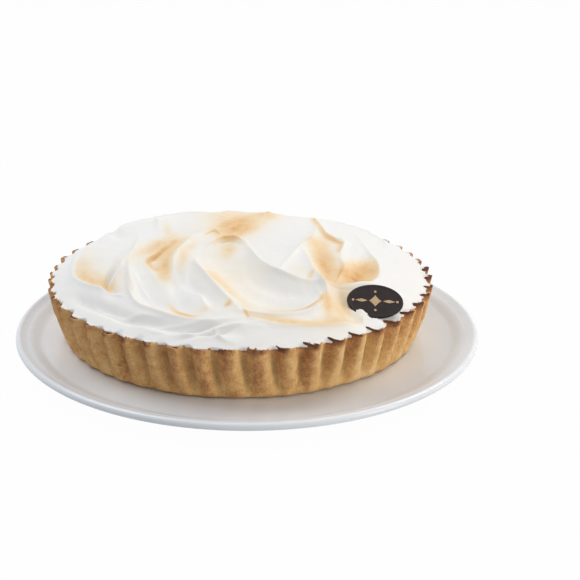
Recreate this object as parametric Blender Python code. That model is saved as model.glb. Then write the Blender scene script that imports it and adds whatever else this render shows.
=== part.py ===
"""A lemon meringue pie on its round serving plate, with an oval chocolate plaque.

Four closed solids, all at rest in one frame.  The origin is the centre of the plate's foot on the
table, +Z is up and -Y is the serving side, where the plaque sits.
"""

import math
from collections import namedtuple

import bmesh
import bpy
import numpy as np
from mathutils import Matrix, Vector

MM = 0.001
GAP = 0.3 * MM                      # air between solids that rest on each other

# Plate: a coupe dish with a flat well, a gentle slope and a thick rounded lip.
PLATE_RADIUS = 156.5 * MM
PLATE_SEGMENTS = 80
WELL_HEIGHT = 9.0 * MM              # top of the well above the table
WELL_RADIUS = 138.0 * MM
LIP_HEIGHT = 14.5 * MM              # top of the lip above the table
LIP_WIDTH = 5.0 * MM
FOOT_RADIUS = 96.0 * MM
FOOT_WIDTH = 5.0 * MM
FOOT_RECESS = 2.5 * MM              # underside inside the foot ring, above the table
PLATE_THICKNESS = 5.5 * MM

# Pie: baked in a deep fluted tart tin, 26 cm across the top and 24 cm across the base.
PIE_CENTRE = Vector((-5.0 * MM, 8.0 * MM))
CRUST_BOTTOM = WELL_HEIGHT + GAP
CRUST_HEIGHT = 35.0 * MM
CRUST_TOP = CRUST_BOTTOM + CRUST_HEIGHT
CRUST_RIM_RADIUS = 128.0 * MM       # mean of the flutes at the rim
CRUST_BASE_RADIUS = 120.0 * MM
CRUST_FOOT_ROUNDING = 3.5 * MM
FLUTES = 48
FLUTE_STEPS = 4                     # facets round one flute
FLUTE_DEPTH = 2.2 * MM              # half of crest to valley, at the rim
TIP_RISE = 3.2 * MM                 # how far the proud tips stand above the rim
RECESS_RADIUS = 121.5 * MM
RECESS_DEPTH = 8.0 * MM
WALL_LEVELS = (0.0, 0.1, 0.4, 0.72, 1.0)

# Meringue: a low dome swept into folds by a spatula.
DOME_EDGE_RADIUS = 125.0 * MM       # how far it laps over the rim
DOME_EDGE_HEIGHT = 1.6 * MM         # thickness at that edge
DOME_RISE = 20.5 * MM
DOME_POWER = 3.3
MARK_DEPTH = 1.35                   # how deep the spatula went, as a multiple of the marks below
CREST_ROUNDING = 1.0                # of a ridge's crest, in millimetres
DOME_CELLS = 40                     # grid cells across the dome
PLUG_RADIUS = RECESS_RADIUS - GAP

# Plaque: a thin oval of dark chocolate, leaning back with its lower edge in the meringue.
PLAQUE_LENGTH = 36.0 * MM
PLAQUE_WIDTH = 25.0 * MM
PLAQUE_THICKNESS = 2.0 * MM
PLAQUE_BEVEL = 0.5 * MM
PLAQUE_SEGMENTS = 40
PLAQUE_PLACE = Vector((87.5 * MM, -70.6 * MM, 46.3 * MM))    # centre, from the pie's base
PLAQUE_LEAN = math.radians(36.0)    # tilt of its face from level, towards -Y
PLAQUE_TURN = math.radians(6.0)     # turn about the vertical
PLAQUE_DIP = math.radians(-6.0)     # turn in its own plane, right end down

# A ridge or hollow in the meringue follows a smooth curve through points, each (x, y, height) in
# millimetres about the pie's centre.  A ridge falls off over `left` and `right` millimetres on the
# two sides of its direction of travel.  A hollow is round, and a bank where its height is positive.
Ridge = namedtuple("Ridge", "points left right")
Hollow = namedtuple("Hollow", "points radius")
Swell = namedtuple("Swell", "x y height radius")

RIDGES = (
    # left lobe's brow
    Ridge(((-112, 48, 0.3), (-115, 12, 1.2), (-112, -20, 2.0), (-100, -46, 2.6), (-88, -58, 2.6),
           (-70, -74, 0.5)), 18, 4.5),
    # brow of the left scoop
    Ridge(((-73, -38, 0.4), (-70, -60, 2.0), (-60, -85, 2.8), (-40, -99, 2.7), (-5, -109, 1.2),
           (18, -110, 0.4)), 9, 4.5),
    # long toasted crest
    Ridge(((-22, 46, 0.5), (-37, 5, 2.4), (-43, -35, 2.6), (-38, -62, 0.3)), 5, 4),
    # white horn
    Ridge(((-30, -18, 0.6), (-28, -36, 3.2), (-16, -65, 3.8), (-3, -87, 1.9), (3, -95, 0.3)), 7, 4),
    # middle lobe, left and right edges
    Ridge(((2, 10, 1.0), (8, -16, 3.0), (20, -44, 3.8), (40, -57, 2.6), (52, -58, 1.2)), 14, 4),
    Ridge(((50, 88, 0.3), (50, 30, 2.0), (42, 0, 2.5), (30, -35, 1.5), (27, -47, 0.5)), 4, 13),
    # folds between the toasted patches on the right
    Ridge(((40, -2, 0.4), (46, -28, 2.0), (53, -56, 2.8), (57, -62, 1.6)), 4, 4),
    Ridge(((66, 27, 0.6), (69, 0, 2.0), (66, -33, 1.5), (60, -58, 0.4)), 4, 4),
    Ridge(((80, 46, 0.4), (88, 0, 2.0), (92, -33, 2.6), (80, -51, 1.0), (66, -57, 0.4)), 12, 4),
    Ridge(((53, 56, 0.3), (60, 32, 2.2), (71, 26, 2.4), (77, 50, 0.3)), 7, 4),
    # lip of the comma-shaped scoop, and the front brow
    Ridge(((53, -52, 1.2), (56, -78, 2.6), (40, -95, 2.4), (10, -98, 1.2), (-2, -95, 0.3)), 4, 4),
    Ridge(((8, -103, 0.5), (30, -108, 1.5), (58, -102, 1.9), (88, -84, 0.5)), 5, 7),
    # sweeps and folds across the back
    Ridge(((20, 122, 0.2), (17, 100, 1.6), (14, 76, 1.4), (14, 60, 0.3)), 9, 9),
    Ridge(((96, 62, 0.4), (70, 92, 1.8), (38, 112, 2.0), (4, 117, 1.6), (-30, 113, 0.4)), 14, 4),
    Ridge(((-40, 110, 0.4), (-68, 92, 1.8), (-92, 66, 2.0), (-106, 40, 1.2), (-113, 18, 0.3)),
          14, 4),
    Ridge(((-12, 64, 0.3), (-34, 84, 1.6), (-60, 98, 1.4), (-82, 92, 0.4)), 8, 4),
    Ridge(((98, 18, 0.3), (101, 42, 1.5), (87, 74, 1.4), (64, 98, 0.4)), 8, 4),
)
HOLLOWS = (
    # comma-shaped scoop
    Hollow(((-8, 12, -0.8), (-10, -12, -2.6), (2, -58, -4.0), (32, -80, -4.0), (46, -74, -2.0)), 14),
    # gullies beside the left lobe, in the left scoop and beside the horn
    Hollow(((-74, 16, -0.3), (-80, -35, -3.2), (-82, -50, -2.8), (-75, -72, -0.3)), 4),
    Hollow(((-62, -45, -0.8), (-60, -62, -2.4), (-42, -88, -2.4), (-28, -96, -1.4)), 8),
    Hollow(((-34, -26, -0.8), (-30, -62, -3.2), (-14, -88, -1.0)), 4.5),
    Hollow(((-38, -48, -1.0), (-38, -66, -2.2), (-30, -92, -0.4)), 5),
    # toasted patches on the right
    Hollow(((54, 20, -0.5), (56, -5, -1.6), (58, -30, -2.0), (57, -50, -1.2)), 5),
    Hollow(((80, -8, -0.8), (82, -26, -2.2), (70, -52, -0.8)), 7),
    # creases along the front left and the back
    Hollow(((-106, -54, -0.5), (-84, -78, -3.0), (-58, -99, -2.6), (-20, -113, -1.2),
            (4, -116, -0.4)), 4),
    Hollow(((48, 98, -0.6), (20, 110, -2.0), (-14, 112, -1.6), (-44, 102, -0.5)), 6),
    # dip in front of the plaque and bank behind it
    Hollow(((68, -62, -1.0), (67, -76, -3.0), (75, -87, -3.0), (91, -86, -2.4), (103, -74, -1.6),
            (108, -60, -0.3)), 6.5),
    Hollow(((74, -55, 1.5), (87, -57, 4.4), (102, -57, 2.2)), 7),
)
SWELLS = (
    Swell(-52, 84, 3.0, 40),
    Swell(-80, 68, 2.6, 20),
    Swell(-10, 60, 1.5, 40),
    Swell(26, 20, 1.6, 24),
    Swell(50, 84, 1.2, 16),
)
CURVE_STEPS = 5                     # straight pieces between two points of a curve


def clear_scene():
    """Remove every object already in the scene."""
    for obj in list(bpy.data.objects):
        bpy.data.objects.remove(obj, do_unlink=True)


def make_material(name, colour, roughness, metallic=0.0):
    """Return a Principled material with a plain colour, roughness and metallic value."""
    material = bpy.data.materials.new(name)
    material.use_nodes = True
    shader = material.node_tree.nodes["Principled BSDF"]
    shader.inputs["Base Color"].default_value = (*colour, 1.0)
    shader.inputs["Roughness"].default_value = roughness
    shader.inputs["Metallic"].default_value = metallic
    return material


def add_object(name, bm, material, sharp_angle=40.0):
    """Turn a bmesh into a linked, smooth-shaded object with one material."""
    bmesh.ops.recalc_face_normals(bm, faces=bm.faces)
    mesh = bpy.data.meshes.new(name)
    bm.to_mesh(mesh)
    bm.free()
    mesh.shade_smooth()
    mesh.set_sharp_from_angle(angle=math.radians(sharp_angle))
    mesh.materials.append(material)
    obj = bpy.data.objects.new(name, mesh)
    bpy.context.scene.collection.objects.link(obj)
    return obj


def arc(centre_r, centre_z, radius, start_deg, end_deg, steps):
    """Points of a circular arc in the (radius, height) plane of a turned profile."""
    angles = np.radians(np.linspace(start_deg, end_deg, steps))
    return [(centre_r + radius * math.cos(a), centre_z + radius * math.sin(a)) for a in angles]


# ---------------------------------------------------------------------------------------- plate

def plate_profile():
    """Half section of the plate, from the centre of the well out and back under to the axis."""
    lip_radius = 0.5 * LIP_WIDTH
    lip_centre = (PLATE_RADIUS - lip_radius, LIP_HEIGHT - lip_radius)
    underside = WELL_HEIGHT - PLATE_THICKNESS
    points = [(0.0, WELL_HEIGHT), (WELL_RADIUS, WELL_HEIGHT)]
    points += [(PLATE_RADIUS - 1.4 * LIP_WIDTH, LIP_HEIGHT - 2.2 * MM)]
    points += arc(*lip_centre, lip_radius, 110.0, -40.0, 5)
    points += [(WELL_RADIUS, underside)]
    points += [(FOOT_RADIUS + FOOT_WIDTH, underside)]
    points += [(FOOT_RADIUS + 0.7 * FOOT_WIDTH, 0.0), (FOOT_RADIUS - 0.3 * FOOT_WIDTH, 0.0)]
    points += [(FOOT_RADIUS - 0.7 * FOOT_WIDTH, FOOT_RECESS), (0.0, FOOT_RECESS)]
    return points


def build_plate(material):
    """Spin the plate's half section about its axis."""
    bm = bmesh.new()
    verts = [bm.verts.new((radius, 0.0, height)) for radius, height in plate_profile()]
    edges = [bm.edges.new(pair) for pair in zip(verts, verts[1:])]
    bmesh.ops.spin(bm, geom=verts + edges, cent=(0, 0, 0), axis=(0, 0, 1),
                   angle=math.tau, steps=PLATE_SEGMENTS, use_merge=True)
    bmesh.ops.remove_doubles(bm, verts=bm.verts, dist=0.01 * MM)
    return add_object("plate", bm, material)


# ---------------------------------------------------------------------------------------- crust

def flute_wave(angle):
    """Outline of the tin's flutes, -1 in a valley and +1 on a crest, crests broader."""
    wave = math.cos(FLUTES * angle)
    return wave + 0.25 * (1.0 - wave * wave)


def tip_height(flute):
    """How far one flute's tip stands above the rim: proud at the front right, worn at the front."""
    angle = math.tau * flute / FLUTES
    proud = 0.5 + 0.5 * math.cos(angle - math.radians(320.0))
    uneven = 0.5 + 0.5 * math.sin(2.7 * flute + 1.3 * math.sin(1.1 * flute))
    return TIP_RISE * (0.25 + 0.45 * proud + 0.30 * uneven)


def wall_ring(level):
    """Points round the outer wall at a level from 0 (base) to 1 (rim)."""
    steps = FLUTES * FLUTE_STEPS
    mean = CRUST_BASE_RADIUS + level * (CRUST_RIM_RADIUS - CRUST_BASE_RADIUS)
    tuck = CRUST_FOOT_ROUNDING * max(0.0, 1.0 - level / WALL_LEVELS[1])
    depth = FLUTE_DEPTH * min(1.0, 0.1 + 1.6 * level)
    ring = []
    for step in range(steps):
        angle = math.tau * step / steps
        radius = mean - tuck + depth * flute_wave(angle)
        height = CRUST_BOTTOM + level * CRUST_HEIGHT
        if level == WALL_LEVELS[-1]:
            height += tip_height(step // FLUTE_STEPS) * max(0.0, math.cos(FLUTES * angle))
        ring.append((radius * math.cos(angle), radius * math.sin(angle), height))
    return ring


def plain_ring(radius, height, steps):
    """Points round a plain circle."""
    angles = [math.tau * step / steps for step in range(steps)]
    return [(radius * math.cos(a), radius * math.sin(a), height) for a in angles]


def skin_rings(bm, rings):
    """Join rings of equal length with quads, and close both ends with a flat face."""
    loops = [[bm.verts.new(point) for point in ring] for ring in rings]
    for low, high in zip(loops, loops[1:]):
        for index in range(len(low)):
            after = (index + 1) % len(low)
            bm.faces.new((low[index], low[after], high[after], high[index]))
    bm.faces.new(loops[0])
    bm.faces.new(loops[-1])
    return loops


def build_crust(material):
    """Fluted pastry case, solid below the recess that holds the meringue."""
    steps = FLUTES * FLUTE_STEPS
    land_outer = DOME_EDGE_RADIUS + GAP
    rings = [wall_ring(level) for level in WALL_LEVELS]
    rings.append(plain_ring(land_outer, CRUST_TOP, steps))
    rings.append(plain_ring(RECESS_RADIUS, CRUST_TOP, steps))
    rings.append(plain_ring(RECESS_RADIUS, CRUST_TOP - RECESS_DEPTH, steps))
    bm = bmesh.new()
    skin_rings(bm, rings)
    bmesh.ops.translate(bm, verts=bm.verts, vec=(*PIE_CENTRE, 0.0))
    return add_object("crust", bm, material)


# ------------------------------------------------------------------------------------- meringue

def curve_points(points):
    """Points of the Catmull-Rom curve through a feature's own points.

    Between points b and c, with neighbours a and d, it is half of
    2b + (c-a) t + (2a-5b+4c-d) t^2 + (3b-a-3c+d) t^3.
    """
    knots = np.array(points, dtype=float)
    ends = np.vstack([2.0 * knots[0] - knots[1], knots, 2.0 * knots[-1] - knots[-2]])
    t = np.linspace(0.0, 1.0, CURVE_STEPS, endpoint=False)[None, :, None]
    spans = len(knots) - 1
    a, b, c, d = (ends[i:i + spans, None, :] for i in range(4))
    curve = 0.5 * (2.0 * b + (c - a) * t + (2.0 * a - 5.0 * b + 4.0 * c - d) * t ** 2
                   + (3.0 * b - a - 3.0 * c + d) * t ** 3)
    return np.vstack([curve.reshape(-1, 3), knots[-1:]])


def nearest_on_curve(x, y, feature):
    """Distance, side and height of the nearest point of a feature's curve.

    Returns arrays shaped as x: distance in millimetres, whether the point lies left of the
    direction of travel, and the height the curve has where it comes nearest.
    """
    path = curve_points(feature.points)
    best = np.full(x.shape, np.inf)
    left = np.zeros(x.shape, dtype=bool)
    height = np.zeros(x.shape)
    for first, second in zip(path, path[1:]):
        run = second - first
        length_sq = run[0] ** 2 + run[1] ** 2
        along = np.clip(((x - first[0]) * run[0] + (y - first[1]) * run[1]) / length_sq, 0.0, 1.0)
        gap_x = x - first[0] - along * run[0]
        gap_y = y - first[1] - along * run[1]
        distance = np.hypot(gap_x, gap_y)
        closer = distance < best
        best = np.where(closer, distance, best)
        left = np.where(closer, run[0] * gap_y - run[1] * gap_x > 0.0, left)
        height = np.where(closer, first[2] + along * run[2], height)
    return best, left, height


def meringue_height(x, y):
    """Height of the meringue's top above the rim of the crust, in millimetres.

    A dome, edge + rise (1 - (r / R) ** power), with ridges h exp(-d / w), hollows
    h exp(-(d / r) ** 2) and broad swells added, all fading to nothing at the edge.  A ridge's d is
    rounded over its crest.
    """
    edge_radius = DOME_EDGE_RADIUS / MM
    radius = np.minimum(np.hypot(x, y) / edge_radius, 1.0)
    relief = np.zeros(x.shape)
    for ridge in RIDGES:
        distance, left, height = nearest_on_curve(x, y, ridge)
        width = np.where(left, ridge.left, ridge.right)
        reach = np.hypot(distance, CREST_ROUNDING) - CREST_ROUNDING
        relief += MARK_DEPTH * height * np.exp(-reach / width)
    for hollow in HOLLOWS:
        distance, _, height = nearest_on_curve(x, y, hollow)
        relief += MARK_DEPTH * height * np.exp(-(distance / hollow.radius) ** 2)
    for swell in SWELLS:
        distance = np.hypot(x - swell.x, y - swell.y)
        relief += swell.height * np.exp(-(distance / swell.radius) ** 2)
    dome = (DOME_EDGE_HEIGHT + DOME_RISE * (1.0 - radius ** DOME_POWER)) / MM
    return dome + relief * np.clip((1.0 - radius) * 12.0, 0.0, 1.0)


def disc_grid(cells, radius):
    """Square grid bent to a disc: each square ring of the grid becomes a circle."""
    line = np.linspace(-1.0, 1.0, cells + 1)
    u, v = np.meshgrid(line, line)
    reach = np.maximum(np.abs(u), np.abs(v))
    minor = np.minimum(np.abs(u), np.abs(v))
    angle = 0.25 * math.pi * np.divide(minor, reach, out=np.zeros_like(reach), where=reach > 0)
    major_part = reach * np.cos(angle)
    minor_part = reach * np.sin(angle)
    wide = np.abs(u) >= np.abs(v)
    x = np.sign(u) * np.where(wide, major_part, minor_part)
    y = np.sign(v) * np.where(wide, minor_part, major_part)
    return radius * x, radius * y


def grid_rim(cells):
    """Grid indices (row, column) once round the edge of the disc grid, anticlockwise."""
    rim = [(0, column) for column in range(cells)]
    rim += [(row, cells) for row in range(cells)]
    rim += [(cells, cells - column) for column in range(cells)]
    rim += [(cells - row, 0) for row in range(cells)]
    return rim


def build_meringue(material):
    """Swept dome that laps over the rim, with a plug that fills the recess of the crust."""
    x, y = disc_grid(DOME_CELLS, DOME_EDGE_RADIUS)
    z = CRUST_TOP + meringue_height(x / MM, y / MM) * MM
    bm = bmesh.new()
    top = [[bm.verts.new((x[i, j], y[i, j], z[i, j])) for j in range(DOME_CELLS + 1)]
           for i in range(DOME_CELLS + 1)]
    for i in range(DOME_CELLS):
        for j in range(DOME_CELLS):
            bm.faces.new((top[i][j], top[i][j + 1], top[i + 1][j + 1], top[i + 1][j]))
    rim = [top[row][column] for row, column in grid_rim(DOME_CELLS)]
    land = CRUST_TOP + GAP
    plug_scale = PLUG_RADIUS / DOME_EDGE_RADIUS
    plug_bottom = CRUST_TOP - RECESS_DEPTH + GAP
    loops = [rim]
    for scale, height in ((1.0, land), (plug_scale, land), (plug_scale, plug_bottom)):
        loops.append([bm.verts.new((vert.co.x * scale, vert.co.y * scale, height)) for vert in rim])
    for low, high in zip(loops, loops[1:]):
        for index in range(len(low)):
            after = (index + 1) % len(low)
            bm.faces.new((low[index], low[after], high[after], high[index]))
    bm.faces.new(loops[-1])
    bmesh.ops.triangulate(bm, faces=bm.faces)
    bmesh.ops.translate(bm, verts=bm.verts, vec=(*PIE_CENTRE, 0.0))
    return add_object("meringue", bm, material)


# --------------------------------------------------------------------------------------- plaque

def plaque_placement():
    """Where the plaque stands: leant back, turned and dipped a little, low on the front right."""
    place = Vector((*PIE_CENTRE, CRUST_BOTTOM)) + PLAQUE_PLACE
    turn = Matrix.Rotation(PLAQUE_TURN, 4, "Z")
    lean = Matrix.Rotation(PLAQUE_LEAN, 4, "X")
    dip = Matrix.Rotation(PLAQUE_DIP, 4, "Z")
    return Matrix.Translation(place) @ turn @ lean @ dip


def plaque_mesh(grow=0.0):
    """Bevelled oval disc; `grow` makes it larger all round, for the pocket it sits in."""
    half_thickness = 0.5 * PLAQUE_THICKNESS + grow
    levels = (
        (-half_thickness, PLAQUE_BEVEL),
        (-half_thickness + PLAQUE_BEVEL, 0.0),
        (half_thickness - PLAQUE_BEVEL, 0.0),
        (half_thickness, PLAQUE_BEVEL),
    )
    rings = []
    for height, inset in levels:
        long_axis = 0.5 * PLAQUE_LENGTH + grow - inset
        short_axis = 0.5 * PLAQUE_WIDTH + grow - inset
        angles = [math.tau * step / PLAQUE_SEGMENTS for step in range(PLAQUE_SEGMENTS)]
        rings.append([(long_axis * math.cos(a), short_axis * math.sin(a), height) for a in angles])
    bm = bmesh.new()
    skin_rings(bm, rings)
    bmesh.ops.transform(bm, matrix=plaque_placement(), verts=bm.verts)
    return bm


def seat_plaque(meringue, material):
    """Make the plaque, and cut the pocket for it in the meringue."""
    pocket = add_object("plaque_pocket", plaque_mesh(GAP), material)
    pocket.hide_render = True
    pocket.display_type = "WIRE"
    cut = meringue.modifiers.new("plaque_pocket", "BOOLEAN")
    cut.operation = "DIFFERENCE"
    cut.solver = "EXACT"
    cut.object = pocket
    return add_object("chocolate_plaque", plaque_mesh(), material)


def main():
    """Build the four solids."""
    clear_scene()
    china = make_material("white_china", (0.60, 0.59, 0.58), 0.15)
    pastry = make_material("baked_pastry", (0.50, 0.28, 0.10), 0.75)
    egg_white = make_material("toasted_meringue", (0.88, 0.84, 0.78), 0.55)
    chocolate = make_material("dark_chocolate", (0.035, 0.02, 0.018), 0.35)
    build_plate(china)
    build_crust(pastry)
    meringue = build_meringue(egg_white)
    seat_plaque(meringue, chocolate)


if __name__ == "__main__":
    main()
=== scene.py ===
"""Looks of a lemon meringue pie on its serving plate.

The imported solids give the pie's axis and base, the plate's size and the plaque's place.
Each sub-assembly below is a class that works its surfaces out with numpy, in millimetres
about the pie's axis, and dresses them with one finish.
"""

import logging
import math
from dataclasses import dataclass, field
from enum import Enum
from typing import Optional, Sequence

import bpy
import numpy as np
from mathutils import Matrix, Vector


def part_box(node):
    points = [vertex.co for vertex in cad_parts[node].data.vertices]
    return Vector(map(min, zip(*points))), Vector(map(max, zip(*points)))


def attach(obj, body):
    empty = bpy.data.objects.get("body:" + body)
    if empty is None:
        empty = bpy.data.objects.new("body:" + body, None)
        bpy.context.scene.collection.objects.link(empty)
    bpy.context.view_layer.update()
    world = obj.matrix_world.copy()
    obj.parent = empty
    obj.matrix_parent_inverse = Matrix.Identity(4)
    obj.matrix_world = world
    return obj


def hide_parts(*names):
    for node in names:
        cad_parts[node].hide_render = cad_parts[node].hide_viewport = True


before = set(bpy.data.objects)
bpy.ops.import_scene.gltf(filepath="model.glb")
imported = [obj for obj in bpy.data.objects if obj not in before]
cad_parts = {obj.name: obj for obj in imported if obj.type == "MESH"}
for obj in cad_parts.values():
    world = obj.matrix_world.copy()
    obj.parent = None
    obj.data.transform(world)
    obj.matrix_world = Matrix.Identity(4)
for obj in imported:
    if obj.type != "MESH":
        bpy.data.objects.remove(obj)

LOG = logging.getLogger("lemon_meringue_pie")
MM = 0.001
Array = np.ndarray
Point = tuple[float, float, float]


# ------------------------------------------------------------------------------------- helpers

def srgb(code: str) -> tuple[float, float, float, float]:
    """Turn an sRGB hex colour into linear light.

    Args:
        code: six hex digits, such as "F4E9D2".

    Returns:
        Linear red, green and blue, with an alpha of one.
    """
    parts = [int(code[i:i + 2], 16) / 255.0 for i in (0, 2, 4)]
    linear = [p / 12.92 if p <= 0.04045 else ((p + 0.055) / 1.055) ** 2.4 for p in parts]
    return (*linear, 1.0)


def smoothstep(low: float, high: float, value: Array) -> Array:
    """Ease from 0 at low to 1 at high: t squared times (3 - 2 t), with t clamped."""
    t = np.clip((value - low) / (high - low), 0.0, 1.0)
    return t * t * (3.0 - 2.0 * t)


def smooth_noise(x: Array, y: Array, seed: int, cells: int = 64) -> Array:
    """Smooth random field over a repeating square lattice of random heights.

    Between lattice points the height is blended with the smoothstep of each coordinate.

    Args:
        x: first coordinate, in lattice cells.
        y: second coordinate, in lattice cells.
        seed: which random field.
        cells: lattice points before the field repeats.

    Returns:
        Values from -1 to 1, shaped as x.
    """
    lattice = np.random.default_rng(seed).uniform(-1.0, 1.0, (cells, cells))
    col = np.floor(x).astype(int)
    row = np.floor(y).astype(int)
    u = x - col
    v = y - row
    u = u * u * (3.0 - 2.0 * u)
    v = v * v * (3.0 - 2.0 * v)
    c0, c1 = col % cells, (col + 1) % cells
    r0, r1 = row % cells, (row + 1) % cells
    low = lattice[r0, c0] * (1.0 - u) + lattice[r0, c1] * u
    high = lattice[r1, c0] * (1.0 - u) + lattice[r1, c1] * u
    return low * (1.0 - v) + high * v


def layered_noise(x: Array, y: Array, seed: int, layers: int = 3) -> Array:
    """Sum of smooth random fields, each at twice the pitch and half the height of the last."""
    total = np.zeros(np.shape(x))
    for layer in range(layers):
        total = total + smooth_noise(x * 2 ** layer, y * 2 ** layer, seed + layer) / 2 ** layer
    return total


def ring_noise(angle: Array, count: int, seed: int, level: float = 0.0) -> Array:
    """Smooth random field round a circle, with `count` random values that join up at the seam."""
    return smooth_noise(angle / math.tau * count, np.zeros(np.shape(angle)) + level, seed, count)


def grid_quads(rows: int, columns: int, wrap: bool) -> Array:
    """Quads between neighbouring points of a grid stored row by row.

    Args:
        rows: number of rows of points.
        columns: number of points in a row.
        wrap: whether the last point of a row joins the first.

    Returns:
        One row of four point numbers for each quad.
    """
    spans = columns if wrap else columns - 1
    row, column = np.meshgrid(np.arange(rows - 1), np.arange(spans), indexing="ij")
    after = (column + 1) % columns
    low = row * columns
    high = low + columns
    return np.stack([low + column, low + after, high + after, high + column], -1).reshape(-1, 4)


def make_piece(name: str, points: Array, faces: Sequence, material: bpy.types.Material,
               replaces: Sequence[str] = (), sharp: Optional[float] = None
               ) -> bpy.types.Object:
    """Put points and faces into a smooth-shaded mesh that rides on the one body.

    Args:
        name: the piece's name.
        points: one row of x, y, z in metres for each point.
        faces: rows of point numbers, anticlockwise seen from outside.
        material: the piece's finish.
        replaces: names of the solids that the piece stands for.
        sharp: angle in degrees above which an edge is sharp, or None for none.

    Returns:
        The linked object.
    """
    mesh = bpy.data.meshes.new(name)
    mesh.from_pydata(points.tolist(), [], [list(map(int, face)) for face in faces])
    mesh.validate()
    mesh.shade_smooth()
    if sharp is not None:
        mesh.set_sharp_from_angle(angle=math.radians(sharp))
    mesh.materials.append(material)
    piece = bpy.data.objects.new(name, mesh)
    bpy.context.scene.collection.objects.link(piece)
    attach(piece, "root")
    if replaces:
        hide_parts(*replaces)
    LOG.info("%s: %d points, %d faces", name, len(mesh.vertices), len(mesh.polygons))
    return piece


def add_values(piece: bpy.types.Object, name: str, values: Array) -> None:
    """Store one number for each point of a piece, for its finish to read."""
    layer = piece.data.attributes.new(name, "FLOAT", "POINT")
    layer.data.foreach_set("value", np.asarray(values, dtype=np.float32).ravel())


def add_node(tree: bpy.types.NodeTree, kind: str, settings: Optional[dict] = None,
             values: Optional[dict] = None, links: Optional[dict] = None) -> bpy.types.Node:
    """Add a node with its settings, socket values and incoming links.

    Args:
        tree: the material's node tree.
        kind: Blender's name of the node type.
        settings: properties of the node.
        values: input socket name or number to constant.
        links: input socket name or number to an output socket.

    Returns:
        The new node.
    """
    node = tree.nodes.new(kind)
    for key, value in (settings or {}).items():
        setattr(node, key, value)
    for key, value in (values or {}).items():
        node.inputs[key].default_value = value
    for key, socket in (links or {}).items():
        tree.links.new(socket, node.inputs[key])
    return node


def new_material(name: str) -> tuple[bpy.types.Material, bpy.types.Node]:
    """Start a material with one Principled shader.

    Args:
        name: what the real material is.

    Returns:
        The material and its shader.
    """
    material = bpy.data.materials.new(name)
    material.use_nodes = True
    tree = material.node_tree
    tree.nodes.clear()
    shader = add_node(tree, "ShaderNodeBsdfPrincipled")
    add_node(tree, "ShaderNodeOutputMaterial", links={"Surface": shader.outputs["BSDF"]})
    return material, shader


def set_ramp(node: bpy.types.Node, stops: Sequence[tuple[float, str]]) -> None:
    """Give a colour ramp its stops, each a place from 0 to 1 and an sRGB hex colour."""
    elements = node.color_ramp.elements
    while len(elements) > 1:
        elements.remove(elements[-1])
    elements[0].position = stops[0][0]
    elements[0].color = srgb(stops[0][1])
    for place, code in stops[1:]:
        elements.new(place).color = srgb(code)


# ------------------------------------------------------------------------------------ finishes

@dataclass(frozen=True)
class ToastedMeringue:
    """Egg white and sugar whipped to a fine foam, spread with a spatula and torched.

    Light goes a few millimetres into the foam, so its shadows are soft and never dark, and the
    wet-whipped skin has a satin sheen.  The torch takes it through cream and gold to brown.
    """

    foam: str = "F0EFEC"
    warmed: str = "F1EADD"
    golden: str = "EFD6AF"
    toasted: str = "E4B67A"
    scorched: str = "BB7C3E"
    roughness: float = 0.5
    light_reach: float = 1.1 * MM
    bubble_size: float = 0.9 * MM
    sugar_mottle: float = 5.0 * MM

    def make(self) -> bpy.types.Material:
        """Build the finish.

        Returns:
            The material, which reads the point attribute "toast" from 0 to 1.
        """
        material, shader = new_material("toasted_meringue")
        tree = material.node_tree
        place = add_node(tree, "ShaderNodeTexCoord").outputs["Object"]
        toast = add_node(tree, "ShaderNodeAttribute", {"attribute_name": "toast"}).outputs["Fac"]
        mottle = add_node(tree, "ShaderNodeTexNoise", {"noise_dimensions": "3D"},
                          {"Scale": 1.0 / self.sugar_mottle, "Detail": 5.0, "Roughness": 0.6},
                          {"Vector": place}).outputs["Fac"]
        patchy = add_node(tree, "ShaderNodeMapRange", {"clamp": True},
                          {"From Min": 0.3, "From Max": 0.7, "To Min": 0.86, "To Max": 1.12},
                          {"Value": mottle}).outputs["Result"]
        browned = add_node(tree, "ShaderNodeMath", {"operation": "MULTIPLY", "use_clamp": True},
                           links={0: toast, 1: patchy}).outputs["Value"]
        ramp = add_node(tree, "ShaderNodeValToRGB", links={"Fac": browned})
        set_ramp(ramp, ((0.0, self.foam), (0.14, self.warmed), (0.36, self.golden),
                        (0.68, self.toasted), (1.0, self.scorched)))
        tree.links.new(ramp.outputs["Color"], shader.inputs["Base Color"])
        bubbles = add_node(tree, "ShaderNodeTexNoise", {"noise_dimensions": "3D"},
                           {"Scale": 1.0 / self.bubble_size, "Detail": 3.0, "Roughness": 0.55},
                           {"Vector": place}).outputs["Fac"]
        relief = add_node(tree, "ShaderNodeBump", None,
                          {"Strength": 0.12, "Distance": 0.25 * MM}, {"Height": bubbles})
        tree.links.new(relief.outputs["Normal"], shader.inputs["Normal"])
        shader.inputs["Roughness"].default_value = self.roughness
        shader.inputs["IOR"].default_value = 1.4
        shader.inputs["Subsurface Weight"].default_value = 0.18
        shader.inputs["Subsurface Radius"].default_value = (1.0, 0.85, 0.7)
        shader.inputs["Subsurface Scale"].default_value = self.light_reach
        return material


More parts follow.
